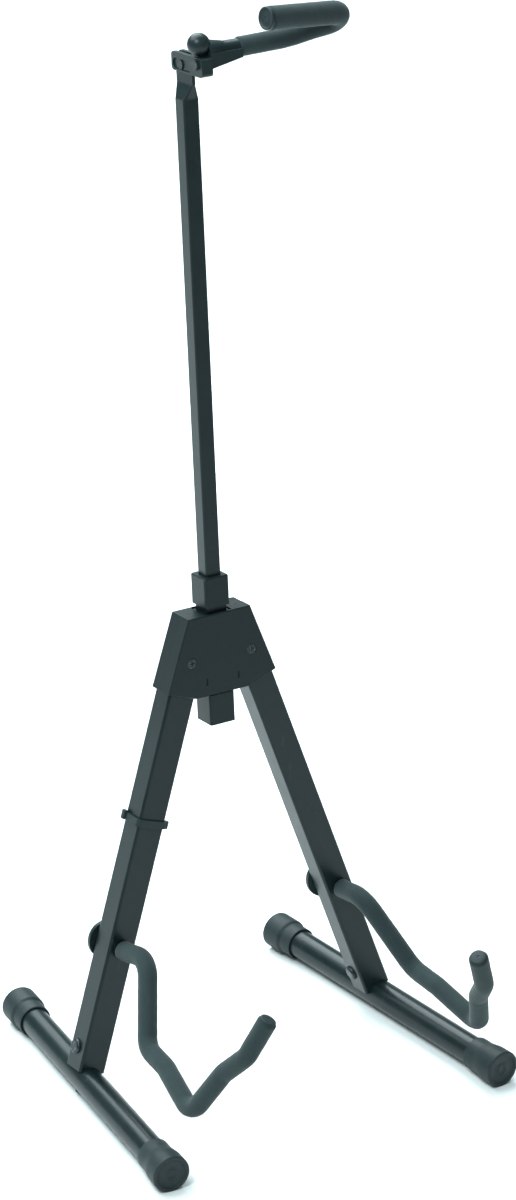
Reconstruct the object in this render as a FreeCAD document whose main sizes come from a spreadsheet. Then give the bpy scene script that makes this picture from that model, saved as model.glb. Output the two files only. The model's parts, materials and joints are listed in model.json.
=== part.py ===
import FreeCAD, Part
import math
import os
import re
import Sketcher

# Folding guitar stand: an A-frame with a tall mast and a hook neck rest.
# Millimetres, +Z up, -Y is the front. Every size below drives the model through the sheet.

DIMENSIONS = {
    # frame of the A: leans back by "lean", legs pivot at height pivotZ
    "lean": 4.5,
    "splay": 18.5,
    "toeOut": 5.5,
    "pivotX": 25.5,
    "pivotZ": 322.0,
    "planeY": 64.85,
    "fitGap": 0.05,
    # yoke shells
    "shellTopHalf": 26.4,
    "shellTop": 34.3,
    "shellLowHalf": 46.3,
    "shellLow": -20.0,
    "shellFootHalf": 22.6,
    "shellFoot": -28.5,
    "shellDepth": 12.5,
    "shellWall": 1.8,
    "shellRoof": 2.5,
    "shellBevel": 0.8,
    "roomTopHalf": 25.9,
    "roomLowHalf": 49.3,
    "roomLow": -32.0,
    "bossX": 12.0,
    "bossUp": -17.0,
    "bossRadius": 2.1,
    "ribHalf": 5.0,
    "ribSpan": 26.0,
    "dishHalf": 11.5,
    "dishReach": 10.5,
    "dishDepth": 1.2,
    "slotX": 13.4,
    "slotHalfWidth": 0.9,
    "slotHalfLength": 2.6,
    "slotDepth": 0.7,
    # mast sleeve
    "coreHalf": 8.2,
    "collarHalf": 10.4,
    "collarLow": 38.5,
    "collarTop": 61.5,
    "skirtHalf": 10.6,
    "skirtTop": -29.5,
    "skirtLow": -53.0,
    "boreHalf": 6.5,
    "sleeveCorner": 1.8,
    # fasteners in the yoke
    "screwRadius": 2.5,
    "headRadius": 4.1,
    "headHeight": 1.2,
    "bushRadius": 5.0,
    "bushGap": 0.1,
    "nutRadius": 4.6,
    "nutHeight": 3.4,
    "studRadius": 1.25,
    "studHead": 2.6,
    "studHeadHeight": 1.6,
    "studTip": 8.0,
    # legs
    "legHalfWidth": 11.1,
    "legHalfDepth": 10.4,
    "legWall": 1.2,
    "legCorner": 2.0,
    "crownBend": 10.6,
    "legLift": 6.0,
    "saddleTop": 38.0,
    "saddleGap": 0.1,
    "rivetUp": 22.5,
    "rivetBack": 2.0,
    "rivetRadius": 2.5,
    "rivetHead": 5.8,
    "rivetDome": 2.4,
    "footScrewTop": 18.0,
    "footScrewHead": 3.6,
    "footScrewHeadHeight": 1.6,
    "footScrewSeat": 0.5,
    "clipUp": -121.5,
    "clipHeight": 5.5,
    "clipGrow": 2.0,
    # foot bars and caps
    "barHeight": 13.9,
    "barRadius": 11.0,
    "barWall": 1.2,
    "barFront": 157.0,
    "barRear": 124.0,
    "capRadius": 14.3,
    "capLength": 32.0,
    "capEnd": 6.0,
    "capLip": 12.7,
    "capDish": 11.0,
    "capDishDepth": 0.6,
    # cradle arms, F forward and G up from the leg hole
    "cradleDrop": 222.0,
    "cradleCant": 4.3,
    "rodRadius": 4.0,
    "guideRadius": 5.0,
    "guideHalf": 10.6,
    "foamRadius": 7.25,
    "armStart": 11.0,
    "armBend": 16.0,
    "shoulderF": 45.9,
    "shoulderG": 4.8,
    "elbowF": 78.8,
    "elbowG": -52.4,
    "kinkF": 108.5,
    "kinkG": -56.9,
    "lowF": 154.6,
    "lowG": -73.9,
    "riseF": 176.9,
    "riseG": -34.8,
    "crestF": 197.2,
    "crestG": -14.2,
    "tipF": 208.3,
    "tipG": 16.9,
    "plugDepth": 4.0,
    "plugHead": 6.2,
    "plugCrown": 1.8,
    "discRadius": 15.0,
    "discGap": 12.0,
    "discThick": 5.6,
    "discSocket": 4.0,
    # mast
    "mastHalf": 6.35,
    "mastCorner": 1.5,
    "mastRoom": 5.15,
    "mastLow": -50.0,
    "mastTop": 416.0,
    "plugTop": -38.0,
    "tabLow": 427.5,
    "tabHalf": 11.0,
    "tabHalfThick": 1.25,
    "tabShoulder": 437.0,
    "tabTop": 448.5,
    "tabCrown": 7.5,
    # neck rest
    "restPivot": 441.0,
    "bracketHalf": 4.5,
    "bracketLow": 436.0,
    "bracketTop": 449.5,
    "bracketBack": 11.5,
    "bracketFront": 31.0,
    "cheekGap": 1.6,
    "bridgeStart": 11.4,
    "recessBack": 5.5,
    "recessFront": 11.5,
    "recessRadius": 4.0,
    "recessUp": 441.3,
    "recessDepth": 1.2,
    "pinRadius": 2.0,
    "pinHead": 3.4,
    "pinNut": 3.9,
    "pinNutHeight": 2.8,
    "boltForward": 24.5,
    "boltUp": 445.0,
    "boltHead": 4.0,
    "boltHeadHeight": 2.4,
    "boltEnd": 11.0,
    "restForward": 20.0,
    "ballRadius": 8.2,
    "ballUp": 458.0,
    "neckEnd": 30.6,
    "neckUp": 451.7,
    "neckWide": 8.8,
    "neckSlim": 6.2,
    "neckSocket": 6.0,
    "neckWaist": 20.0,
    "webUp": 452.0,
    "webTipUp": 446.0,
    "webHeelUp": 441.0,
    "webBack": 15.5,
    "webFront": 29.0,
    # hook, X sideways and V up its tilted plane
    "hookTilt": 37.5,
    "hookFoam": 8.3,
    "hookBend": 4.0,
    "hookKneeX": 41.0,
    "hookKneeV": 2.0,
    "hookTurnX": 97.7,
    "hookTurnV": 26.5,
    "hookTipX": 8.3,
    "hookTipV": 39.6,
    "endCapRadius": 8.3,
    "endCapThick": 3.0,
}

FORMULAS = {
    "legReach": "=(pivotZ - barHeight) / (cos(splay) * cos(lean))",
    "footX": "=pivotX + legReach * sin(splay)",
    "footY": "=planeY - legReach * cos(splay) * sin(lean)",
    "armLean": "=atan2(tipF - crestF; tipG - crestG)",
    "hookLean": "=atan2(hookTipX - hookTurnX; hookTipV - hookTurnV)",
}

doc = FreeCAD.newDocument("GuitarStand")
sheet = doc.addObject("Spreadsheet::Sheet", "Dims")
for row, (name, content) in enumerate({**DIMENSIONS, **FORMULAS}.items(), start=1):
    sheet.set("A%d" % row, name)
    sheet.set("B%d" % row, str(content))
    sheet.setAlias("B%d" % row, name)
doc.recompute()

finished = []


def linked(text):
    """Turn a formula in sheet names into an expression that can drive a property."""
    known = set(DIMENSIONS) | set(FORMULAS)

    def qualified(word):
        return "Dims." + word.group() if word.group() in known else word.group()

    return re.sub(r"[A-Za-z]\w*", qualified, text)


def value(text):
    """Evaluate a formula in sheet names."""
    return float(sheet.evalExpression(linked(text).replace("Dims.", "")))


def bind(obj, **formulas):
    """Drive properties of an object from formulas."""
    for prop, text in formulas.items():
        obj.setExpression(prop, linked(text))


# Placements, written as formulas

def place(x="0", y="0", z="0", axis="0; 0; 1", angle="0"):
    return "placement(vector(%s; %s; %s); rotation(vector(%s); %s))" % (x, y, z, axis, angle)


STAND = place(y="planeY", z="pivotZ", axis="1; 0; 0", angle="-lean")
ALONG_Y = place(axis="1; 0; 0", angle="-90")
HOOK = STAND + " * " + place("neckEnd", "-restForward", "neckUp", "1; 0; 0", "90 - hookTilt")


def leg_frame(sign):
    return STAND + " * " + place(sign + " * pivotX", axis="0; 1; 0", angle=sign + " * -1 * splay")


def bar_frame(sign):
    return place(sign + " * footX", "footY", "barHeight", angle=sign + " * toeOut")


def cradle_frame(sign):
    return leg_frame(sign) + " * " + place(z="-cradleDrop", axis="0; 1; 0", angle=sign + " * -1 * cradleCant")


# Sketches

def add_rules(sketch, rules):
    """Add constraints together, then drive those that come with a formula."""
    first = sketch.ConstraintCount
    sketch.addConstraint([rule for rule, formula in rules])
    for index, (rule, formula) in enumerate(rules, start=first):
        if formula:
            bind(sketch, **{"Constraints[%d]" % index: formula})


def rule(kind, *references):
    return Sketcher.Constraint(kind, *references), None


def pinned(geometry, point, x, y):
    """Rules that hold one point of a sketch at the formulas x, y."""
    rules = []
    for direction, formula, axis in (("X", x, -2), ("Y", y, -1)):
        distance = value(formula)
        if abs(distance) < 1e-9:
            rules.append(rule("PointOnObject", geometry, point, axis))
        else:
            held = Sketcher.Constraint("Distance" + direction, -1, 1, geometry, point, distance)
            rules.append((held, formula))
    return rules


def radius_rule(geometry, size):
    return Sketcher.Constraint("Radius", geometry, value(size)), size


def circle(sketch, size, x="0", y="0"):
    """Circle of driven radius about the formulas x, y."""
    centre = FreeCAD.Vector(value(x), value(y), 0)
    index = sketch.addGeometry(Part.Circle(centre, FreeCAD.Vector(0, 0, 1), value(size)))
    add_rules(sketch, [radius_rule(index, size)] + pinned(index, 3, x, y))


def path(sketch, points, closed=True):
    """Straight runs through points (x, y) or (x, y, bend radius); bends are tangent arcs."""
    count = len(points)
    corners = [FreeCAD.Vector(value(point[0]), value(point[1]), 0) for point in points]
    arrive = list(corners)
    leave = list(corners)
    arcs = {}
    for i, point in enumerate(points):
        if len(point) == 2:
            continue
        back = (corners[i - 1] - corners[i]).normalize()
        ahead = (corners[(i + 1) % count] - corners[i]).normalize()
        half = back.getAngle(ahead) / 2
        size = value(point[2])
        arrive[i] = corners[i] + back * (size / math.tan(half))
        leave[i] = corners[i] + ahead * (size / math.tan(half))
        centre = corners[i] + (back + ahead).normalize() * (size / math.sin(half))
        left_turn = back.cross(ahead).z < 0
        start, end = (arrive[i], leave[i]) if left_turn else (leave[i], arrive[i])
        angles = [math.atan2(spot.y - centre.y, spot.x - centre.x) for spot in (start, end)]
        ring = Part.Circle(centre, FreeCAD.Vector(0, 0, 1), size)
        arcs[i] = sketch.addGeometry(Part.ArcOfCircle(ring, angles[0], angles[1])), left_turn
    runs = {}
    for i in range(count if closed else count - 1):
        runs[i] = sketch.addGeometry(Part.LineSegment(leave[i], arrive[(i + 1) % count]))
    rules = []
    for i, point in enumerate(points):
        before = runs.get((i - 1) % count)
        after = runs.get(i)
        if i in arcs:
            arc, left_turn = arcs[i]
            near, far = (1, 2) if left_turn else (2, 1)
            corner = sketch.addGeometry(Part.Point(corners[i]), True)
            rules += [rule("Tangent", before, 2, arc, near), rule("Tangent", after, 1, arc, far),
                      rule("PointOnObject", corner, 1, before), rule("PointOnObject", corner, 1, after),
                      radius_rule(arc, point[2])]
            rules += pinned(corner, 1, point[0], point[1])
        elif after is None:
            rules += pinned(before, 2, point[0], point[1])
        else:
            if before is not None:
                rules.append(rule("Coincident", before, 2, after, 1))
            rules += pinned(after, 1, point[0], point[1])
    add_rules(sketch, rules)


def mirrored(points):
    """A right-hand outline followed by its left-hand mirror image."""
    flipped = [("-1 * (%s)" % point[0],) + tuple(point[1:]) for point in reversed(points)]
    return list(points) + flipped


def box_outline(left, right, low, high, *bend):
    return [(left, low, *bend), (right, low, *bend), (right, high, *bend), (left, high, *bend)]


def square(half, *bend):
    return box_outline("-1 * (%s)" % half, half, "-1 * (%s)" % half, half, *bend)


def hexagon(size, x="0", y="0"):
    return [("%s + %s * cos(%d)" % (x, size, turn), "%s + %s * sin(%d)" % (y, size, turn))
            for turn in range(0, 360, 60)]


# Features

def new_body(name, placement):
    body = doc.addObject("PartDesign::Body", name)
    body.Label = name
    bind(body, Placement=placement)
    finished.append(body)
    return body


def new_feature(body, kind):
    return body.newObject("PartDesign::" + kind, "%s_%s%d" % (body.Name, kind, len(body.Group)))


def new_sketch(body, plane, start="0", up="0"):
    """Sketch on one of the body's own planes, moved along its normal and up."""
    support = next(item for item in body.Origin.OriginFeatures if item.Role == plane + "_Plane")
    sketch = body.newObject("Sketcher::SketchObject", "%s_Sketch%d" % (body.Name, len(body.Group)))
    sketch.AttachmentSupport = [(support, "")]
    sketch.MapMode = "FlatFace"
    bind(sketch, AttachmentOffset=place(y=up, z=start))
    return sketch


def extrude(body, kind, plane, start, end, *shapes):
    """Add (Pad) or cut (Pocket) outlines or circles between two positions along the plane's normal."""
    sketch = new_sketch(body, plane, start)
    for shape in shapes:
        if isinstance(shape, list):
            path(sketch, shape)
        else:
            circle(sketch, *shape)
    feature = new_feature(body, kind)
    feature.Profile = sketch
    feature.Reversed = kind == "Pocket"
    bind(feature, Length="(%s) - (%s)" % (end, start))
    return feature


def revolve(body, kind, points):
    """Turn a radius-height outline about the body's Z axis."""
    sketch = new_sketch(body, "XZ")
    path(sketch, points)
    feature = new_feature(body, kind)
    feature.Profile = sketch
    feature.ReferenceAxis = (sketch, ["V_Axis"])
    feature.Angle = 360
    return feature


def sweep(body, route_plane, points, profile_plane, start, *circles):
    """Run circles along an open route."""
    route = new_sketch(body, route_plane)
    path(route, points, closed=False)
    profile = new_sketch(body, profile_plane, start)
    for shape in circles:
        circle(profile, *shape)
    feature = new_feature(body, "AdditivePipe")
    feature.Profile = profile
    feature.Spine = (route, [])
    return feature


def cut_cylinder(body, size, length, world):
    """Remove a cylinder whose own frame is given in the world."""
    frame = body.ExpressionEngine[0][1].replace("Dims.", "")
    feature = new_feature(body, "SubtractiveCylinder")
    bind(feature, Radius=size, Height=length, Placement="minvert(%s) * (%s)" % (frame, world))
    return feature


def dress(body, kind, size, wanted):
    """Fillet or chamfer the edges of the body that pass the test."""
    doc.recompute()
    base = body.Tip
    names = ["Edge%d" % i for i, edge in enumerate(base.Shape.Edges, start=1) if wanted(edge)]
    feature = new_feature(body, kind)
    feature.Base = (base, names)
    bind(feature, **{"Radius" if kind == "Fillet" else "Size": size})
    return feature


def at_level(axis, text):
    """Edge test: every end of the edge lies at one level along an axis."""
    level = value(text)
    return lambda edge: all(abs(getattr(vertex.Point, axis) - level) < 1e-4 for vertex in edge.Vertexes)


# Yoke

def yoke_shell(name, front):
    """One half of the yoke: an open-bottomed tray with bosses, ribs and pivot holes."""
    body = new_body(name, STAND)

    def layer(kind, near, far, *shapes):
        if front:
            return extrude(body, kind, "XZ", near, far, *shapes)
        return extrude(body, kind, "XZ", "-1 * (%s)" % far, "-1 * (%s)" % near, *shapes)

    rim = [("shellFootHalf", "shellFoot"), ("shellLowHalf", "shellLow"), ("shellTopHalf", "shellTop")]
    room = [("roomLowHalf", "roomLow"), ("roomTopHalf", "shellTop - shellRoof")]
    inner = "shellDepth - shellWall"
    layer("Pad", "0", "shellDepth", mirrored(rim))
    dress(body, "Chamfer", "shellBevel", at_level("y", "-shellDepth" if front else "shellDepth"))
    layer("Pocket", "-1", inner, mirrored(room))
    rib = box_outline("-ribHalf", "ribHalf", "-ribSpan", "ribSpan")
    layer("Pad", "coreHalf", inner, rib)
    layer("Pad", "0", inner, ("bossRadius", "bossX", "bossUp"), ("bossRadius", "-bossX", "bossUp"))
    bore = ("studRadius", "bossX", "bossUp"), ("studRadius", "-bossX", "bossUp")
    layer("Pocket", "-1", "studTip + fitGap" if front else "shellDepth + 1", *bore)
    pivots = [("screwRadius + fitGap", side + "pivotX", "0") for side in ("", "-")]
    layer("Pocket", inner + " - 1", "shellDepth + 1", *pivots)
    roof = "shellTop - shellRoof - 0.5"
    dish = box_outline("-dishHalf", "dishHalf", "shellTop - dishDepth", "shellTop + 2")
    throat = box_outline("-coreHalf - fitGap", "coreHalf + fitGap", roof, "shellTop + 2")
    layer("Pocket", "-1", "dishReach", dish)
    layer("Pocket", "-1", "coreHalf + fitGap", throat)
    if front:
        sinks = [("headRadius + 2 * fitGap", side + "pivotX", "0") for side in ("", "-")]
        layer("Pocket", "shellDepth - headHeight", "shellDepth + 1", *sinks)
        slots = [box_outline(side + "slotX - slotHalfWidth", side + "slotX + slotHalfWidth",
                             "bossUp - slotHalfLength", "bossUp + slotHalfLength", "slotHalfWidth * 0.8")
                 for side in ("", "-")]
        layer("Pocket", "shellDepth - slotDepth", "shellDepth + 1", *slots)


yoke_shell("yoke_shell_front", True)
yoke_shell("yoke_shell_rear", False)

sleeve = new_body("mast_sleeve", STAND)
bend = "sleeveCorner"
extrude(sleeve, "Pad", "XY", "skirtTop - 1", "collarLow + 1", square("coreHalf"))
extrude(sleeve, "Pad", "XY", "collarLow", "collarTop", square("collarHalf", bend))
extrude(sleeve, "Pad", "XY", "skirtLow", "skirtTop", square("skirtHalf", bend))
dress(sleeve, "Chamfer", "0.8", at_level("z", "collarTop"))
extrude(sleeve, "Pocket", "XY", "skirtLow - 1", "collarTop + 1", square("boreHalf", "mastCorner"))


def grouped(name, members):
    """Separate solids of one kind under a single name."""
    group = doc.addObject("Part::Compound", name)
    group.Label = name
    group.Links = members
    finished.append(group)
    for member in members:
        finished.remove(member)


def for_both(name, build):
    """Build one solid on each side and group them."""
    members = []
    for side, sign in (("left", "-1"), ("right", "1")):
        members.append(build(side + "_" + name, sign))
    grouped(name, members)


def pivot_screw(name, sign):
    body = new_body(name, STAND + " * " + place(sign + " * pivotX"))
    seat = "shellDepth - headHeight"
    extrude(body, "Pad", "XZ", "-shellDepth - nutHeight - 0.6", "shellDepth - 0.5", ("screwRadius",))
    extrude(body, "Pad", "XZ", seat, "shellDepth", ("headRadius",))
    dress(body, "Chamfer", "0.3", at_level("y", "-shellDepth"))
    cross = [box_outline("-1.9", "1.9", "-0.45", "0.45"), box_outline("-0.45", "0.45", "-1.9", "1.9")]
    for bar in cross:
        extrude(body, "Pocket", "XZ", "shellDepth - 0.8", "shellDepth + 1", bar)
    return body


def pivot_nut(name, sign):
    body = new_body(name, STAND + " * " + place(sign + " * pivotX"))
    extrude(body, "Pad", "XZ", "-shellDepth - nutHeight", "-shellDepth", hexagon("nutRadius"),
            ("screwRadius",))
    return body


def pivot_bush(name, sign):
    body = new_body(name, STAND + " * " + place(sign + " * pivotX"))
    reach = "(shellDepth - shellWall - bushGap)"
    extrude(body, "Pad", "XZ", "-1 * " + reach, reach, ("bushRadius",), ("screwRadius + fitGap",))
    return body


def shell_screw(name, sign):
    body = new_body(name, STAND + " * " + place(sign + " * bossX", z="bossUp"))
    extrude(body, "Pad", "XZ", "-shellDepth", "studTip", ("studRadius",))
    extrude(body, "Pad", "XZ", "-shellDepth - studHeadHeight", "-shellDepth", ("studHead",))
    dress(body, "Fillet", "0.7", at_level("y", "shellDepth + studHeadHeight"))
    slot = box_outline("-studHead - 1", "studHead + 1", "-0.4", "0.4")
    extrude(body, "Pocket", "XZ", "-shellDepth - studHeadHeight - 1", "-shellDepth - 0.9", slot)
    return body


for_both("pivot_screws", pivot_screw)
for_both("pivot_nuts", pivot_nut)
for_both("pivot_bushes", pivot_bush)
for_both("shell_screws", shell_screw)


# Legs: X across, -Y forward, Z up the leg, origin on the pivot

def leg(side, sign):
    """One leg with its foot bar, caps and the guide for its cradle arm."""
    frame = leg_frame(sign)
    bar = bar_frame(sign)
    bar_axis = bar + " * " + place(y="-200") + " * " + ALONG_Y

    tube = new_body(side + "_leg_tube", frame)
    outer = box_outline("-legHalfWidth", "legHalfWidth", "-legHalfDepth", "legHalfDepth", "legCorner")
    wide = "legHalfWidth - legWall"
    deep = "legHalfDepth - legWall"
    inner = box_outline("-(%s)" % wide, wide, "-(%s)" % deep, deep, "legCorner - legWall")
    extrude(tube, "Pad", "XY", "-legReach + legLift", "legHalfWidth", outer, inner)
    crown = [("-legHalfWidth - 1", "0"), ("-legHalfWidth", "0"),
             ("-legHalfWidth", "legHalfWidth", "crownBend"), ("legHalfWidth", "legHalfWidth", "crownBend"),
             ("legHalfWidth", "0"), ("legHalfWidth + 1", "0"),
             ("legHalfWidth + 1", "legHalfWidth + 2"), ("-legHalfWidth - 1", "legHalfWidth + 2")]
    extrude(tube, "Pocket", "XZ", "-legHalfDepth - 1", "legHalfDepth + 1", crown)
    extrude(tube, "Pocket", "XZ", "-legHalfDepth - 1", "legHalfDepth + 1", ("bushRadius + fitGap",),
            ("guideRadius + fitGap", "0", "-cradleDrop"))
    rivet_hole = ("rivetRadius + fitGap", "rivetBack", "-legReach + rivetUp")
    extrude(tube, "Pocket", "YZ", "-legHalfWidth - 1", "legHalfWidth + 1", rivet_hole)
    cut_cylinder(tube, "barRadius + fitGap", "400", bar_axis)

    saddle = new_body(side + "_leg_saddle", frame)
    snug_wide = wide + " - saddleGap"
    snug_deep = deep + " - saddleGap"
    block = box_outline("-(%s)" % snug_wide, snug_wide, "-(%s)" % snug_deep, snug_deep, "legCorner - legWall")
    extrude(saddle, "Pad", "XY", "-legReach + legLift", "-legReach + saddleTop", block)
    extrude(saddle, "Pocket", "YZ", "-legHalfWidth - 1", "legHalfWidth + 1", rivet_hole)
    extrude(saddle, "Pocket", "XY", "-legReach", "-legReach + footScrewTop + fitGap",
            ("screwRadius + fitGap",))
    cut_cylinder(saddle, "barRadius + fitGap", "400", bar_axis)

    rivet_spot = place(y="rivetBack", z="-legReach + rivetUp")
    rivet = new_body(side + "_leg_rivet", frame + " * " + rivet_spot)
    extrude(rivet, "Pad", "YZ", "-legHalfWidth", "legHalfWidth", ("rivetRadius",))
    extrude(rivet, "Pad", "YZ", "legHalfWidth", "legHalfWidth + rivetDome", ("rivetHead",))
    extrude(rivet, "Pad", "YZ", "-legHalfWidth - rivetDome", "-legHalfWidth", ("rivetHead",))
    for face in ("legHalfWidth + rivetDome", "-legHalfWidth - rivetDome"):
        dress(rivet, "Fillet", "rivetDome * 0.85", at_level("x", face))

    screw = new_body(side + "_foot_screw", frame + " * " + place(z="-legReach"))
    seat = "-barRadius - footScrewSeat"
    extrude(screw, "Pad", "XY", seat + " - 0.5", "footScrewTop", ("screwRadius",))
    extrude(screw, "Pad", "XY", seat + " - footScrewHeadHeight", seat, ("footScrewHead",))
    dress(screw, "Fillet", "0.8", at_level("z", seat + " - footScrewHeadHeight"))

    bar_tube = new_body(side + "_foot_bar", bar)
    extrude(bar_tube, "Pad", "XZ", "-barRear + capEnd", "barFront - capEnd", ("barRadius",),
            ("barRadius - barWall",))
    cut_cylinder(bar_tube, "screwRadius + fitGap", "60", frame + " * " + place(z="-legReach - 30"))

    for end, reach, turn, flare in (("front", "barFront", "90", "18"), ("rear", "barRear", "-90", "4")):
        cap = new_body("%s_%s_cap" % (side, end), bar + " * " + place(axis="1; 0; 0", angle=turn))
        revolve(cap, "Revolution", [
            ("0", reach + " - capEnd"), ("barRadius + fitGap", reach + " - capEnd"),
            ("barRadius + fitGap", reach + " - capLength"), ("capLip", reach + " - capLength"),
            ("capLip + 0.4", "%s - capLength * 0.55 - %s / 2" % (reach, flare), flare),
            ("capRadius", "%s - capLength * 0.55 + %s / 2" % (reach, flare), flare),
            ("capRadius", reach + " - 1", "0.9"), ("capDish", reach), ("capDish", reach + " - capDishDepth"),
            ("0", reach + " - capDishDepth")])
        low, high = ("-barHeight - 2", "-barHeight") if end == "front" else ("barHeight", "barHeight + 2")
        under = box_outline("-capRadius - 1", "capRadius + 1", low, high)
        extrude(cap, "Pocket", "XY", reach + " - capLength - 1", reach + " + 1", under)

    guide = new_body(side + "_cradle_bush", frame + " * " + place(z="-cradleDrop"))
    extrude(guide, "Pad", "XZ", "-guideHalf", "guideHalf", ("guideRadius",), ("rodRadius + fitGap",))


def cradle(side, sign):
    """Padded support arm that turns in the leg: bent rod, foam, tip plug and rear disc."""
    frame = cradle_frame(sign)
    route = [("-armBend", "0", "20"), ("-shoulderF", "shoulderG", "20"), ("-elbowF", "elbowG", "18"),
             ("-kinkF", "kinkG", "18"), ("-lowF", "lowG", "14"), ("-riseF", "riseG", "18"),
             ("-crestF", "crestG", "18")]
    rear = "-discGap - discSocket"
    rod = new_body(side + "_cradle_rod", frame)
    rod_tip = ("-tipF + plugDepth * sin(armLean)", "tipG - plugDepth * cos(armLean)")
    sweep(rod, "YZ", [("discGap + discSocket", "0")] + route + [rod_tip], "XZ", rear, ("rodRadius",))

    foam = new_body(side + "_cradle_foam", frame)
    sweep(foam, "YZ", [("-armStart", "0")] + route + [("-tipF", "tipG")], "XZ", "armStart",
          ("foamRadius",), ("rodRadius + fitGap",))

    tip = new_body(side + "_cradle_tip", frame + " * " + place("0", "-tipF", "tipG", "1; 0; 0", "armLean"))
    extrude(tip, "Pad", "XY", "-plugDepth + 0.2", "0", ("rodRadius",))
    extrude(tip, "Pad", "XY", "0", "plugCrown", ("plugHead",))
    dress(tip, "Fillet", "plugCrown * 0.8", at_level("z", "plugCrown"))

    disc = new_body(side + "_cradle_disc", frame)
    extrude(disc, "Pad", "XZ", "-discGap - discThick", "-discGap", ("discRadius",))
    dress(disc, "Fillet", "discThick * 0.6", at_level("y", "discGap + discThick"))
    extrude(disc, "Pocket", "XZ", "-discGap - discSocket", "0", ("rodRadius + fitGap",))


for side, sign in (("left", "-1"), ("right", "1")):
    leg(side, sign)
    cradle(side, sign)

clip = new_body("leg_clip", leg_frame("-1"))
grip = box_outline("-legHalfWidth - clipGrow", "legHalfWidth + clipGrow", "-legHalfDepth - clipGrow",
                   "legHalfDepth + clipGrow", "legCorner + clipGrow")
hollow = box_outline("-legHalfWidth - fitGap", "legHalfWidth + fitGap", "-legHalfDepth - fitGap",
                     "legHalfDepth + fitGap", "legCorner")
extrude(clip, "Pad", "XY", "clipUp - clipHeight", "clipUp", grip)
extrude(clip, "Pad", "XY", "clipUp - clipHeight", "clipUp + 1.2",
        box_outline("-legHalfWidth - 3.6", "-legHalfWidth - 0.5", "6.5", "legHalfDepth + 1", "1.2"))
extrude(clip, "Pad", "XY", "clipUp - clipHeight", "clipUp",
        ("2.6", "legHalfWidth + 1.4", "2 - legHalfDepth"))
extrude(clip, "Pocket", "XY", "clipUp - 20", "clipUp + 20", hollow)


# Mast: square tube, flattened at the top into a tab

mast = new_body("mast_tube", STAND)
extrude(mast, "Pad", "XY", "mastLow", "mastTop", square("mastHalf", "mastCorner"),
        square("mastRoom", "mastCorner / 3"))
loft_low = new_sketch(mast, "XY", "mastTop")
path(loft_low, square("mastHalf", "mastCorner"))
loft_high = new_sketch(mast, "XY", "tabLow")
path(loft_high, box_outline("-tabHalfThick", "tabHalfThick", "-tabHalf", "tabHalf", "tabHalfThick * 0.6"))
squeeze = new_feature(mast, "AdditiveLoft")
squeeze.Profile = loft_low
squeeze.Sections = [loft_high]
extrude(mast, "Pad", "YZ", "-tabHalfThick", "tabHalfThick",
        mirrored([("tabHalf", "tabLow"), ("tabHalf", "tabShoulder", "4"), ("tabCrown", "tabTop", "2")]))
extrude(mast, "Pocket", "YZ", "-tabHalf", "tabHalf", ("pinRadius + fitGap", "0", "restPivot"))

end_plug = new_body("mast_end_plug", STAND)
extrude(end_plug, "Pad", "XY", "mastLow", "plugTop", square("mastRoom - fitGap", "mastCorner / 3"))
extrude(end_plug, "Pad", "XY", "mastLow - 2", "mastLow", square("mastHalf", "mastCorner"))


# Neck rest: X across, Y rearward, Z up the mast

bracket = new_body("rest_bracket", STAND)
extrude(bracket, "Pad", "YZ", "-bracketHalf", "bracketHalf",
        box_outline("-bracketFront", "bracketBack", "bracketLow", "bracketTop", "3"))
extrude(bracket, "Pocket", "YZ", "-cheekGap", "cheekGap",
        box_outline("-bridgeStart", "bracketBack + 1", "bracketLow - 1", "bracketTop + 1"))
extrude(bracket, "Pocket", "YZ", "-bracketHalf - 1", "-bracketHalf + recessDepth",
        box_outline("-recessFront - recessRadius", "recessBack + recessRadius", "recessUp - recessRadius",
                    "recessUp + recessRadius", "recessRadius * 0.98"))
extrude(bracket, "Pocket", "YZ", "-bracketHalf - 1", "bracketHalf + 1",
        ("pinRadius + fitGap", "0", "restPivot"), ("pinRadius + fitGap", "-boltForward", "boltUp"))

pin_bolt = new_body("rest_pivot_bolt", STAND + " * " + place(z="restPivot"))
extrude(pin_bolt, "Pad", "YZ", "-bracketHalf + 0.2", "bracketHalf + pinNutHeight + 0.6", ("pinRadius",))
extrude(pin_bolt, "Pad", "YZ", "-bracketHalf + 0.1", "-bracketHalf + recessDepth", ("pinHead",))

pin_nut = new_body("rest_pivot_nut", STAND + " * " + place(z="restPivot"))
extrude(pin_nut, "Pad", "YZ", "bracketHalf", "bracketHalf + pinNutHeight", hexagon("pinNut"), ("pinRadius",))

rest = new_body("rest_body", STAND)
ball = new_feature(rest, "AdditiveSphere")
bind(ball, Radius="ballRadius", Placement=place("0", "-restForward", "ballUp", "1; 0; 0", "90"))
extrude(rest, "Pad", "XZ", "webBack", "webFront",
        [("bracketHalf", "webHeelUp"), ("neckEnd", "webTipUp"), ("neckEnd", "webUp"),
         ("bracketHalf", "webUp")])
horn = new_sketch(rest, "XZ", "restForward", "neckUp")
path(horn, [("bracketHalf", "0"), ("neckEnd", "0"), ("neckEnd", "neckSlim"), ("neckWaist", "neckSlim"),
            ("bracketHalf + 3", "neckWide"), ("bracketHalf", "neckWide")])
collar = new_feature(rest, "Revolution")
collar.Profile = horn
collar.ReferenceAxis = (horn, ["H_Axis"])
collar.Angle = 360
extrude(rest, "Pocket", "YZ", "neckEnd - neckSocket", "neckEnd + 1",
        ("rodRadius + fitGap", "-restForward", "neckUp"))
extrude(rest, "Pocket", "YZ", "0", "boltEnd + fitGap", ("pinRadius + fitGap", "-boltForward", "boltUp"))

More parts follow.
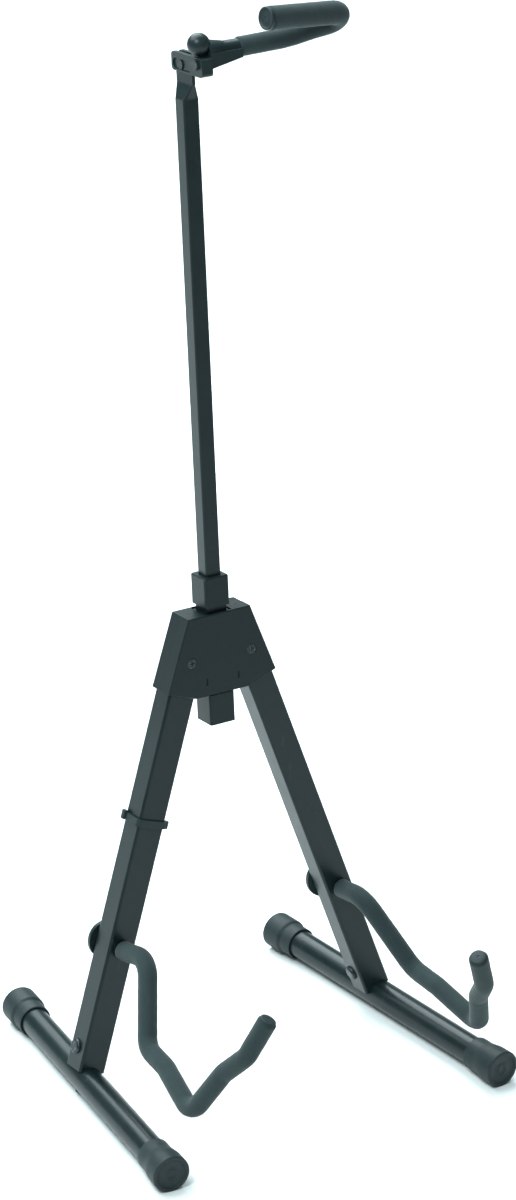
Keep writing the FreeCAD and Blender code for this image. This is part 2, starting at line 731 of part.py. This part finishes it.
body_bolt = new_body("rest_body_bolt", STAND + " * " + place("0", "-boltForward", "boltUp"))
extrude(body_bolt, "Pad", "YZ", "-bracketHalf", "boltEnd", ("pinRadius",))
extrude(body_bolt, "Pad", "YZ", "-bracketHalf - boltHeadHeight", "-bracketHalf", hexagon("boltHead"))

hook_route = [("hookBend", "0", "30"), ("hookKneeX", "hookKneeV", "40"), ("hookTurnX", "hookTurnV", "9.5")]
hook_rod = new_body("hook_rod", HOOK)
hook_end = ("hookTipX - 5 * sin(hookLean)", "hookTipV - 5 * cos(hookLean)")
sweep(hook_rod, "XZ", [("-neckSocket", "0")] + hook_route + [hook_end], "YZ", "-neckSocket", ("rodRadius",))

hook_foam = new_body("hook_foam", HOOK)
sweep(hook_foam, "XZ", [("0.4", "0")] + hook_route + [("hookTipX", "hookTipV")], "YZ", "0.4",
      ("hookFoam",), ("rodRadius + fitGap",))

end_cap = new_body("hook_end_cap", HOOK + " * " + place("hookTipX", "0", "hookTipV", "0; 1; 0", "hookLean"))
extrude(end_cap, "Pad", "XY", "-4.5", "0", ("rodRadius",))
extrude(end_cap, "Pad", "XY", "0", "endCapThick", ("endCapRadius",))
dress(end_cap, "Fillet", "0.8", at_level("z", "endCapThick"))
extrude(end_cap, "Pocket", "XY", "endCapThick - 1.2", "endCapThick + 1", ("endCapRadius - 1.8",))


# Write every part

doc.recompute()
for item in doc.Objects:
    if "Invalid" in item.State or "Error" in item.State:
        raise RuntimeError("%s did not compute: %s" % (item.Name, item.State))
os.makedirs("parts", exist_ok=True)
for item in finished:
    if item.Shape.isNull() or not item.Shape.isValid():
        raise RuntimeError("%s has no valid shape" % item.Name)
    item.Shape.exportStep("parts/%s.step" % item.Label)
print("wrote %d parts" % len(finished))
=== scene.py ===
import bpy
import bmesh
import json
import math
from mathutils import Matrix, Vector, noise


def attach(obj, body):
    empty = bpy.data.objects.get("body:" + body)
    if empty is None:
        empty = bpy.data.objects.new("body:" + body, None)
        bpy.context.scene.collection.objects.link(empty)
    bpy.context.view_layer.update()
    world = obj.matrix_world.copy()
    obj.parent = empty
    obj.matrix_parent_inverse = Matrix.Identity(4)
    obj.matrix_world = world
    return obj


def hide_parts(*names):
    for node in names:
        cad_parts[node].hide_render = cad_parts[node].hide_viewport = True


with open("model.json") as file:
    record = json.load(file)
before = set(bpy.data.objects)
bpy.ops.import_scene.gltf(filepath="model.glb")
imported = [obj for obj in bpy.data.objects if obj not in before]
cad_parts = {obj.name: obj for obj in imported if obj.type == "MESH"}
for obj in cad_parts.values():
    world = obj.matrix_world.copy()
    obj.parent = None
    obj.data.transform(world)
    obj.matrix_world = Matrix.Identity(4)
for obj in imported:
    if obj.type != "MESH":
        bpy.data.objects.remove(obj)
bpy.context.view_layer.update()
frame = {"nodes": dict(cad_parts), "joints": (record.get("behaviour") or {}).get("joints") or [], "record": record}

NODES = frame["nodes"]
JOINTS = {joint["name"]: joint for joint in frame["joints"]}
SIDES = (("left", -1), ("right", 1))

# The CAD's own angles in degrees, and its foot bar height in metres
LEAN, SPLAY, CANT, TOE = 4.5, 18.5, 4.3, 5.5
BAR_HEIGHT = 0.0139
MM = 0.001


def turn(axis, degrees):
    return Matrix.Rotation(math.radians(degrees), 4, axis)


def shift(x=0.0, y=0.0, z=0.0):
    return Matrix.Translation(Vector((x, y, z)))


def pivot(name):
    return Vector(JOINTS[name]["pos_m"])


PIVOT_LEFT = pivot("left_leg_fold")
STAND = shift(0, PIVOT_LEFT.y, PIVOT_LEFT.z) @ turn("X", -LEAN)
LEG_REACH = (PIVOT_LEFT.z - BAR_HEIGHT) / (math.cos(math.radians(SPLAY)) * math.cos(math.radians(LEAN)))


def leg_frame(sign):
    return STAND @ shift(sign * abs(PIVOT_LEFT.x)) @ turn("Y", -sign * SPLAY)


def bar_frame(sign):
    crossing = leg_frame(sign) @ Vector((0, 0, -LEG_REACH))
    return shift(crossing.x, crossing.y, BAR_HEIGHT) @ turn("Z", sign * TOE)


def cradle_frame(sign, side):
    return Matrix.Translation(pivot(side + "_cradle_turn")) @ turn("X", -LEAN) \
        @ turn("Y", -sign * (SPLAY + CANT))


HOOK_ROOT = (0.0306, -0.020, 0.4517)
HOOK_TILT = 37.5
HOOK = STAND @ shift(*HOOK_ROOT) @ turn("X", 90 - HOOK_TILT)


# Materials

class Shader:
    """A node material built step by step around one Principled shader."""

    def __init__(self, name):
        self.material = bpy.data.materials.new(name)
        self.material.use_nodes = True
        self.tree = self.material.node_tree
        self.surface = self.tree.nodes["Principled BSDF"]
        self.where = self.tree.nodes.new("ShaderNodeTexCoord").outputs["Object"]

    def node(self, kind, inputs=None, **settings):
        item = self.tree.nodes.new("ShaderNode" + kind)
        for key, setting in settings.items():
            setattr(item, key, setting)
        for key, given in (inputs or {}).items():
            if isinstance(given, bpy.types.NodeSocket):
                self.tree.links.new(given, item.inputs[key])
            else:
                item.inputs[key].default_value = given
        return item

    def noise(self, scale, detail=3.0, rough=0.5, stretch=None):
        where = self.where
        if stretch:
            where = self.node("Mapping", {"Vector": self.where, "Scale": stretch}).outputs["Vector"]
        made = self.node("TexNoise", {"Vector": where, "Scale": scale, "Detail": detail, "Roughness": rough})
        return made.outputs["Fac"]

    def cells(self, scale):
        return self.node("TexVoronoi", {"Vector": self.where, "Scale": scale}).outputs["Distance"]

    def remap(self, source, low, high, to_low, to_high):
        made = self.node("MapRange", {"Value": source, "From Min": low, "From Max": high,
                                      "To Min": to_low, "To Max": to_high})
        return made.outputs["Result"]

    def mix(self, factor, first, second):
        made = self.node("Mix", {0: factor}, data_type="RGBA")
        for index, given in ((6, first), (7, second)):
            if isinstance(given, bpy.types.NodeSocket):
                self.tree.links.new(given, made.inputs[index])
            else:
                made.inputs[index].default_value = (*given, 1.0)
        return made.outputs[2]

    def shade(self, source, dark, light):
        """One colour drifting into another with a noise."""
        return self.mix(self.remap(source, 0.3, 0.7, 0.0, 1.0), dark, light)

    def bump(self, *layers):
        """Stack bumps, each (height, strength, distance)."""
        normal = None
        for height, strength, distance in layers:
            given = {"Height": height, "Strength": strength, "Distance": distance}
            if normal:
                given["Normal"] = normal
            normal = self.node("Bump", given).outputs["Normal"]
        self.tree.links.new(normal, self.surface.inputs["Normal"])

    def set(self, **inputs):
        for key, given in inputs.items():
            socket = self.surface.inputs[key.replace("_", " ")]
            if isinstance(given, bpy.types.NodeSocket):
                self.tree.links.new(given, socket)
            else:
                socket.default_value = given


def powder_coat():
    """Satin black powder coat: fine orange peel, faint scuffs and dust."""
    made = Shader("powder_coat")
    peel = made.noise(700.0, 2.0, 0.5)
    grit = made.noise(3200.0, 2.0, 0.6)
    cloud = made.noise(24.0, 4.0, 0.6)
    scuff = made.noise(90.0, 6.0, 0.72, stretch=(1.0, 1.0, 0.18))
    worn = made.remap(scuff, 0.63, 0.74, 0.0, 1.0)
    tone = made.shade(cloud, (0.0045, 0.0112, 0.0128), (0.0075, 0.0155, 0.0172))
    made.set(Base_Color=made.mix(worn, tone, (0.022, 0.036, 0.038)))
    rough = made.node("Math", {0: made.remap(cloud, 0.3, 0.7, 0.27, 0.36),
                               1: made.remap(worn, 0, 1, 0.0, 0.12)}, operation="ADD")
    made.set(Roughness=rough.outputs[0])
    made.set(Specular_IOR_Level=0.27)
    made.bump((peel, 0.30, 0.00012), (grit, 0.22, 0.00004))
    return made.material


def moulded_plastic(name, dark, light, smooth, dull, grain):
    """Moulded black plastic with a spark-eroded grain and soft flow marks."""
    made = Shader(name)
    fine = made.noise(grain, 3.0, 0.6)
    flow = made.noise(38.0, 4.0, 0.55, stretch=(1.0, 1.0, 0.4))
    specks = made.remap(made.noise(900.0, 2.0, 0.5), 0.66, 0.76, 0.0, 0.5)
    tone = made.shade(flow, dark, light)
    made.set(Base_Color=made.mix(specks, tone, (0.022, 0.034, 0.036)))
    made.set(Roughness=made.remap(flow, 0.3, 0.7, smooth, dull))
    made.set(Specular_IOR_Level=0.24)
    made.bump((fine, 0.35, 0.00007), (flow, 0.15, 0.00012))
    return made.material


def rubber():
    """Dull moulded rubber with grazed patches and dust in its grain."""
    made = Shader("moulded_rubber")
    pores = made.cells(1500.0)
    dust = made.noise(60.0, 5.0, 0.7)
    graze = made.remap(made.noise(260.0, 5.0, 0.75), 0.60, 0.72, 0.0, 1.0)
    tone = made.mix(made.remap(dust, 0.35, 0.7, 0.0, 1.0),
                    (0.0100, 0.0185, 0.0205), (0.0170, 0.0285, 0.0305))
    made.set(Base_Color=made.mix(graze, tone, (0.026, 0.040, 0.042)))
    made.set(Roughness=made.remap(dust, 0.3, 0.7, 0.46, 0.66))
    made.set(Specular_IOR_Level=0.30)
    made.bump((pores, 0.20, 0.00008), (made.noise(300.0, 3.0, 0.6), 0.20, 0.00010))
    return made.material


def foam_cells():
    """Closed-cell foam: small open pores, painted darker as shade in their hollows, over a matte grey-black skin.
    """
    made = Shader("foam_cells")
    pores = made.cells(1150.0)
    fine = made.noise(2600.0, 3.0, 0.65)
    handled = made.noise(32.0, 4.0, 0.6)
    # Painted shade: the colour darkens inside each pore's hollow, where shade would fall
    pore_shade = made.remap(pores, 0.05, 0.55, 1.0, 0.0)
    tone = made.shade(handled, (0.015, 0.026, 0.028), (0.022, 0.036, 0.038))
    made.set(Base_Color=made.mix(pore_shade, tone, (0.015, 0.027, 0.030)))
    made.set(Roughness=made.remap(fine, 0.3, 0.7, 0.74, 0.92))
    made.set(Specular_IOR_Level=0.25)
    made.set(Sheen_Weight=0.12)
    made.set(Sheen_Roughness=0.5)
    made.bump((pores, 0.55, 0.00022), (fine, 0.35, 0.00010))
    return made.material


def black_oxide():
    """Blackened steel: bare glints where a driver has rubbed."""
    made = Shader("black_oxide")
    brushed = made.noise(1400.0, 3.0, 0.6)
    rub = made.remap(made.noise(420.0, 4.0, 0.7), 0.52, 0.68, 0.0, 1.0)
    made.set(Base_Color=made.mix(rub, (0.022, 0.029, 0.031), (0.10, 0.115, 0.118)))
    made.set(Roughness=made.remap(brushed, 0.3, 0.7, 0.26, 0.42))
    made.set(Metallic=0.65)
    made.bump((brushed, 0.2, 0.00005))
    return made.material


PAINT = powder_coat()
YOKE_PLASTIC = moulded_plastic("yoke_plastic", (0.0035, 0.0092, 0.0104), (0.0052, 0.0122, 0.0136),
                               0.34, 0.46, 1300.0)
REST_PLASTIC = moulded_plastic("rest_plastic", (0.0090, 0.0175, 0.0190), (0.0135, 0.0240, 0.0258),
                               0.27, 0.38, 1700.0)
TRIM_PLASTIC = moulded_plastic("trim_plastic", (0.0090, 0.0175, 0.0190), (0.0140, 0.0250, 0.0268),
                               0.36, 0.5, 1500.0)
RUBBER = rubber()
FOAM = foam_cells()
OXIDE = black_oxide()

FINISH = {"frame_paint": PAINT, "yoke_plastic": YOKE_PLASTIC, "rest_plastic": REST_PLASTIC,
          "black_plastic": TRIM_PLASTIC, "black_rubber": RUBBER, "grey_foam": FOAM, "fastener_black": OXIDE}


# The CAD nodes keep their shape and gain a finish and softened edges

WELD_DISTANCE = 2e-6
SHARP_ANGLE = math.radians(32)
SMALL_EDGE = 0.15


def soften(node, width):
    """Round the sharp edges of a carried-over node a little, so that they catch the light."""
    weld = node.modifiers.new("weld", "WELD")
    weld.merge_threshold = WELD_DISTANCE
    bevel = node.modifiers.new("soft_edges", "BEVEL")
    bevel.width = width
    bevel.segments = 3
    bevel.limit_method = "ANGLE"
    bevel.angle_limit = SHARP_ANGLE
    bevel.use_clamp_overlap = True
    even = node.modifiers.new("even_normals", "WEIGHTED_NORMAL")
    even.weight = 100
    even.keep_sharp = False


# Edge widths in millimetres; every other node takes the small edge
EDGE = {"yoke_shell_front": 0.5, "yoke_shell_rear": 0.5, "mast_sleeve": 0.6, "rest_bracket": 0.6,
        "rest_body": 0.7, "leg_clip": 0.5, "mast_tube": 0.35, "left_leg_tube": 0.25, "right_leg_tube": 0.25}
for part in frame["record"]["subparts"]:
    node = NODES[part["node"]]
    node.data.materials.clear()
    node.data.materials.append(FINISH[part["material_slot"]])
    soften(node, EDGE.get(part["node"], SMALL_EDGE) * MM)


# Pieces that stand for the soft solids

def add_piece(name, mesh, finish, body, slot, *nodes):
    piece = bpy.data.objects.new(name, mesh)
    bpy.context.scene.collection.objects.link(piece)
    mesh.materials.append(finish)
    for face in mesh.polygons:
        face.use_smooth = True
    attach(piece, body)
    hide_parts(*nodes)
    return piece


def rounded_route(points, step=0.0012):
    """Points along straight runs joined by tangent arcs; points are (x, y, radius) in a plane."""
    corners = [Vector(point[:2]) for point in points]
    route = [corners[0]]
    for i in range(1, len(corners) - 1):
        back = (corners[i - 1] - corners[i]).normalized()
        ahead = (corners[i + 1] - corners[i]).normalized()
        half = back.angle(ahead) / 2
        radius = points[i][2]
        centre = corners[i] + (back + ahead).normalized() * radius / math.sin(half)
        start = corners[i] + back * radius / math.tan(half) - centre
        sweep = math.pi - 2 * half
        if start.x * back.y - start.y * back.x > 0:
            sweep = -sweep
        count = max(3, int(abs(sweep) * radius / step))
        for k in range(count + 1):
            a = sweep * k / count
            spun = Vector((start.x * math.cos(a) - start.y * math.sin(a),
                           start.x * math.sin(a) + start.y * math.cos(a)))
            route.append(centre + spun)
    route.append(corners[-1])
    return divided(route, step)


def divided(route, step):
    """The same line with points no further apart than the step."""
    made = [route[0]]
    for start, end in zip(route, route[1:]):
        pieces = max(1, int((end - start).length / step))
        for k in range(1, pieces + 1):
            made.append(start.lerp(end, k / pieces))
    return made


def scaled(points):
    """Millimetres to metres."""
    return [tuple(number * MM for number in point) for point in points]


def finished(mesh, place, name, flat_below=None):
    """Close the work on a mesh: outward faces, into place, and a flat underside if asked for."""
    bmesh.ops.recalc_face_normals(mesh, faces=mesh.faces)
    mesh.transform(place)
    if flat_below is not None:
        for vert in mesh.verts:
            vert.co.z = max(vert.co.z, flat_below)
    data = bpy.data.meshes.new(name)
    mesh.to_mesh(data)
    mesh.free()
    return data


FOAM_EDGE = 1.3 * MM
FOAM_BORE = 3.9 * MM

# The foam's skin in millimetres: broad and fine unevenness as (depth, scale), and a bend's crease
BROAD, FINE, CREASE = (0.10, 160), (0.05, 420), 0.18


def foam_tube(route, place, radius_at, around=72):
    """Closed foam sleeve: soft-edged ends, slightly uneven skin, flattened and rippled inside bends."""
    mesh = bmesh.new()
    total = sum((b - a).length for a, b in zip(route, route[1:]))
    travelled = 0.0
    rings = []
    for i, spot in enumerate(route):
        before = route[max(i - 1, 0)]
        after = route[min(i + 1, len(route) - 1)]
        if i:
            travelled += (spot - before).length
        ahead = (after - before).normalized()
        side = Vector((-ahead.y, ahead.x))
        bend = 0.0
        if 2 < i < len(route) - 3:
            into = (spot - route[i - 3]).normalized()
            out = (route[i + 3] - spot).normalized()
            bend = into.x * out.y - into.y * out.x
        end_gap = min(travelled, total - travelled)
        shrink = 0.0
        if end_gap < FOAM_EDGE:
            shrink = FOAM_EDGE - math.sqrt(max(0.0, FOAM_EDGE ** 2 - (FOAM_EDGE - end_gap) ** 2))
        radius = radius_at(travelled / total) - shrink
        ring = []
        for k in range(around):
            angle = 2 * math.pi * k / around
            across = side * math.cos(angle)
            local = Vector((spot.x + across.x * radius, spot.y + across.y * radius,
                            radius * math.sin(angle)))
            skin = BROAD[0] * noise.noise(local * BROAD[1]) + FINE[0] * noise.noise(local * FINE[1])
            ripple = 0.6 + 0.4 * math.sin(travelled / MM * 1.9)
            crease = -CREASE * max(0.0, math.cos(angle) * bend * 6) * ripple
            r = radius + (skin + crease) * MM
            across = side * math.cos(angle) * r
            ring.append(mesh.verts.new((spot.x + across.x, spot.y + across.y, r * math.sin(angle))))
        rings.append(ring)
    for first, second in zip(rings, rings[1:]):
        for k in range(around):
            j = (k + 1) % around
            mesh.faces.new((first[k], first[j], second[j], second[k]))
    for ring, spot, flip in ((rings[0], route[0], False), (rings[-1], route[-1], True)):
        centre = Vector((spot.x, spot.y, 0))
        lip = [mesh.verts.new(centre.lerp(vert.co, FOAM_BORE / (vert.co - centre).length)) for vert in ring]
        for k in range(around):
            j = (k + 1) % around
            quad = (ring[k], lip[k], lip[j], ring[j])
            mesh.faces.new(tuple(reversed(quad)) if flip else quad)
        mesh.faces.new(lip if flip else list(reversed(lip)))
    return finished(mesh, place, "foam")


def lathe(profile, place, around=96, flat_below=None, ripple=0.0):
    """Turn (radius, height) points about Z; a world height can flatten the underside."""
    mesh = bmesh.new()
    rings = []
    for radius, height in profile:
        if radius < 1e-9:
            rings.append([mesh.verts.new((0, 0, height))])
            continue
        ring = []
        for k in range(around):
            angle = 2 * math.pi * k / around
            spot = Vector((math.cos(angle), math.sin(angle), 0)) * radius + Vector((0, 0, height))
            spot += Vector((spot.x, spot.y, 0)).normalized() * noise.noise(spot * 220) * ripple
            ring.append(mesh.verts.new(spot))
        rings.append(ring)
    for first, second in zip(rings, rings[1:]):
        for k in range(around):
            j = (k + 1) % around
            corners = [first[k % len(first)], first[j % len(first)],
                       second[j % len(second)], second[k % len(second)]]
            unique = []
            for corner in corners:
                if corner not in unique:
                    unique.append(corner)
            mesh.faces.new(unique)
    return finished(mesh, place, "turned", flat_below)


def arc_profile(centre_r, centre_h, radius, start, end, count=6):
    """Part of a circle as profile points, angles in degrees from the radius axis."""
    return [(centre_r + radius * math.cos(math.radians(start + (end - start) * k / count)),
             centre_h + radius * math.sin(math.radians(start + (end - start) * k / count)))
            for k in range(count + 1)]


# Foot cap sizes in millimetres: overall length, end wall, bore, skirt and the spread of its flare
CAP_LENGTH, CAP_FLOOR = 32.0, 6.0
CAP_BORE, CAP_SKIRT, CAP_SPREAD = 11.05, 12.7, 1.6
FRONT_REACH, REAR_REACH = 157.0, 124.0


def foot_cap(side, sign, end, reach, turned):
    """Rubber cap: a bore over the bar, a flared skirt, a rolled rim and a dished end with a moulding ring."""
    skirt_low = reach - CAP_LENGTH
    flare_from, flare_run = (8.0, 14.0) if end == "front" else (11.0, 3.4)
    flare = [(CAP_SKIRT + CAP_SPREAD * (0.5 - 0.5 * math.cos(math.pi * t / 10)),
              skirt_low + (flare_from + flare_run * t / 10)) for t in range(11)]
    profile = [(0.0, reach - CAP_FLOOR), (CAP_BORE, reach - CAP_FLOOR), (CAP_BORE, skirt_low + 0.4)]
    profile += [(11.3, skirt_low), (12.3, skirt_low)] + arc_profile(12.3, skirt_low + 0.4, 0.4, -90, 0, 4)
    profile += flare
    profile += [(14.3, reach - 1.6)] + arc_profile(13.1, reach - 1.2, 1.2, 0, 90, 7)
    profile += arc_profile(11.7, reach - 0.35, 0.35, 90, 180, 3)
    profile += [(11.2, reach - 0.75), (4.2, reach - 0.75), (4.0, reach - 0.55), (3.4, reach - 0.55),
                (3.2, reach - 0.75), (0.0, reach - 0.75)]
    place = bar_frame(sign) @ turn("X", turned)
    mesh = lathe(scaled(profile), place, flat_below=0.0, ripple=0.05 * MM)
    name = "%s_%s_cap" % (side, end)
    return add_piece(name + "_rubber", mesh, RUBBER, side + "_leg", "black_rubber", name)


# Centre lines in millimetres, each vertex (x, y, bend radius), and the planes they lie in
ARM_ROUTE = [(16.0, 0.0, 20.0), (45.9, 4.8, 20.0), (78.8, -52.4, 18.0), (108.5, -56.9, 18.0),
             (154.6, -73.9, 14.0), (176.9, -34.8, 18.0), (197.2, -14.2, 18.0)]
ARM_TIP = (208.3, 16.9)
HOOK_ROUTE = [(4.0, 0.0, 30.0), (41.0, 2.0, 40.0), (97.7, 26.5, 9.5)]
HOOK_TIP = (8.3, 39.6)
ARM_PLANE = Matrix(((0, 0, 1, 0), (-1, 0, 0, 0), (0, 1, 0, 0), (0, 0, 0, 1)))
HOOK_PLANE = Matrix(((1, 0, 0, 0), (0, 0, -1, 0), (0, 1, 0, 0), (0, 0, 0, 1)))
ARM_FOAM_RADIUS = 7.25
HOOK_FOAM_RADIUS, HOOK_FOAM_GROWTH = 7.2, 1.35
ARM_FOAM_START, HOOK_FOAM_START = 11.0, 0.4
GROWTH_FROM, GROWTH_SPAN = 0.36, 0.22    # as shares of the hook sleeve's length


def cradle_foam(side, sign):
    route = rounded_route(scaled([(ARM_FOAM_START, 0.0)] + ARM_ROUTE + [ARM_TIP]))
    mesh = foam_tube(route, cradle_frame(sign, side) @ ARM_PLANE, lambda t: ARM_FOAM_RADIUS * MM)
    piece = add_piece(side + "_cradle_sleeve", mesh, FOAM, side + "_cradle", "grey_foam",
                      side + "_cradle_foam")


def hook_foam():
    """The lower arm's sleeve is slimmer than the return arm's."""
    route = rounded_route(scaled([(HOOK_FOAM_START, 0.0)] + HOOK_ROUTE + [HOOK_TIP]))

    def radius_at(t):
        blend = min(1.0, max(0.0, (t - GROWTH_FROM) / GROWTH_SPAN))
        return (HOOK_FOAM_RADIUS + HOOK_FOAM_GROWTH * (3 * blend ** 2 - 2 * blend ** 3)) * MM

    mesh = foam_tube(route, HOOK @ HOOK_PLANE, radius_at)
    piece = add_piece("hook_sleeve", mesh, FOAM, "neck_rest", "grey_foam", "hook_foam")


def tip_frame(place, last, tip, plane):
    """Frame at the end of a route, Z along its last run."""
    ahead = (Vector(tip) - Vector(last)).normalized()
    spot = plane @ Vector((tip[0] * MM, tip[1] * MM, 0))
    direction = plane.to_3x3() @ Vector((ahead.x, ahead.y, 0))
    spin = direction.to_track_quat("Z", "Y").to_matrix().to_4x4()
    return place @ Matrix.Translation(spot) @ spin


def cradle_tip(side, sign):
    """Rubber plug pushed into the foam's end, with a low dome and a moulding nib."""
    place = tip_frame(cradle_frame(sign, side), ARM_ROUTE[-1][:2], ARM_TIP, ARM_PLANE)
    profile = [(0.0, -3.8), (4.0, -3.8), (4.0, 0.02), (6.0, 0.02)]
    profile += arc_profile(5.6, 0.62, 0.6, -60, 60, 5)
    profile += [(6.2 * math.cos(math.radians(a)) * 0.9, 1.1 + 0.75 * math.sin(math.radians(a)))
                for a in (20, 35, 50, 65, 78)]
    profile += [(0.9, 1.85), (0.8, 1.55), (0.0, 1.5)]
    mesh = lathe(scaled(profile), place, around=64, ripple=0.03 * MM)
    add_piece(side + "_cradle_plug", mesh, RUBBER, side + "_cradle", "black_rubber", side + "_cradle_tip")


def hook_cap():
    """Rubber cap on the hook's free end: rolled rim round a dished face."""
    place = tip_frame(HOOK, HOOK_ROUTE[-1][:2], HOOK_TIP, HOOK_PLANE)
    profile = [(0.0, -4.4), (4.0, -4.4), (4.0, 0.0), (7.9, 0.0)]
    profile += arc_profile(7.9, 0.4, 0.4, -90, 0, 3) + arc_profile(7.4, 2.1, 0.9, 0, 110, 6)
    profile += [(6.6, 2.3), (6.2, 1.85), (3.0, 1.75), (2.6, 1.95), (2.1, 1.95), (1.8, 1.75), (0.0, 1.7)]
    mesh = lathe(scaled(profile), place, around=80, ripple=0.03 * MM)
    add_piece("hook_cap_rubber", mesh, RUBBER, "neck_rest", "black_rubber", "hook_end_cap")


for side, sign in SIDES:
    foot_cap(side, sign, "front", FRONT_REACH, 90)
    foot_cap(side, sign, "rear", REAR_REACH, -90)
    cradle_foam(side, sign)
    cradle_tip(side, sign)
hook_foam()
hook_cap()


# Studio

def paper():
    """White paper sweep with a very faint fibre."""
    made = Shader("white_paper")
    fibre = made.noise(40.0, 5.0, 0.6)
    made.set(Base_Color=made.shade(fibre, (0.86, 0.865, 0.865), (0.90, 0.905, 0.905)))
    made.set(Roughness=0.9)
    made.set(Specular_IOR_Level=0.1)
    return made.material


def lay_floor(width, drop):
    """The paper floor: part of the set, not of the object."""
    mesh = bpy.data.meshes.new("floor")
    corners = [(x * width / 2, y * width / 2, -drop) for x, y in ((-1, -1), (1, -1), (1, 1), (-1, 1))]
    mesh.from_pydata(corners, [], [(0, 1, 2, 3)])
    board = bpy.data.objects.new("floor", mesh)
    bpy.context.scene.collection.objects.link(board)
    mesh.materials.append(paper())


LAMP_TINT = (0.84, 0.975, 1.0)
SKY_TINT = (0.82, 0.97, 1.0, 1.0)
SKY_STRENGTH = 0.34


def lamp(name, spot, aim, size, power):
    light = bpy.data.lights.new(name, "AREA")
    light.shape = "RECTANGLE"
    light.size, light.size_y = size
    light.energy = power
    light.color = LAMP_TINT
    item = bpy.data.objects.new(name, light)
    item.location = spot
    item.rotation_mode = "QUATERNION"
    item.rotation_quaternion = (Vector(aim) - Vector(spot)).to_track_quat("-Z", "Y")
    bpy.context.scene.collection.objects.link(item)


lay_floor(16.0, 0.0002)
lamp("overhead", (-0.2, 1.3, 2.6), (0, 0.3, 0), (3.6, 2.2), 160)
lamp("key_left", (-1.6, -0.9, 2.7), (0, 0, 0.6), (1.0, 1.0), 62)
lamp("back_wash", (0.6, 3.2, 2.6), (0.3, 1.8, 0), (2.6, 1.4), 60)

world = bpy.data.worlds.new("studio")
world.use_nodes = True
world.node_tree.nodes["Background"].inputs["Color"].default_value = SKY_TINT
world.node_tree.nodes["Background"].inputs["Strength"].default_value = SKY_STRENGTH
bpy.context.scene.world = world

CAMERA = {"azimuth": -31.45, "elevation": 23.445, "distance": 2.8893, "aim": (-0.04522, -0.07261, 0.42488)}
camera_data = bpy.data.cameras.new("camera")
camera_data.sensor_width = 36.0
camera_data.lens = 124.33
camera = bpy.data.objects.new("camera", camera_data)
bpy.context.scene.collection.objects.link(camera)
azimuth, elevation = math.radians(CAMERA["azimuth"]), math.radians(CAMERA["elevation"])
back = Vector((math.sin(azimuth) * math.cos(elevation), -math.cos(azimuth) * math.cos(elevation),
               math.sin(elevation)))
camera.location = Vector(CAMERA["aim"]) + back * CAMERA["distance"]
camera.rotation_mode = "QUATERNION"
camera.rotation_quaternion = (-back).to_track_quat("-Z", "Y")
bpy.context.scene.camera = camera
bpy.context.scene.view_settings.view_transform = "Standard"
bpy.context.scene.view_settings.exposure = 0.0
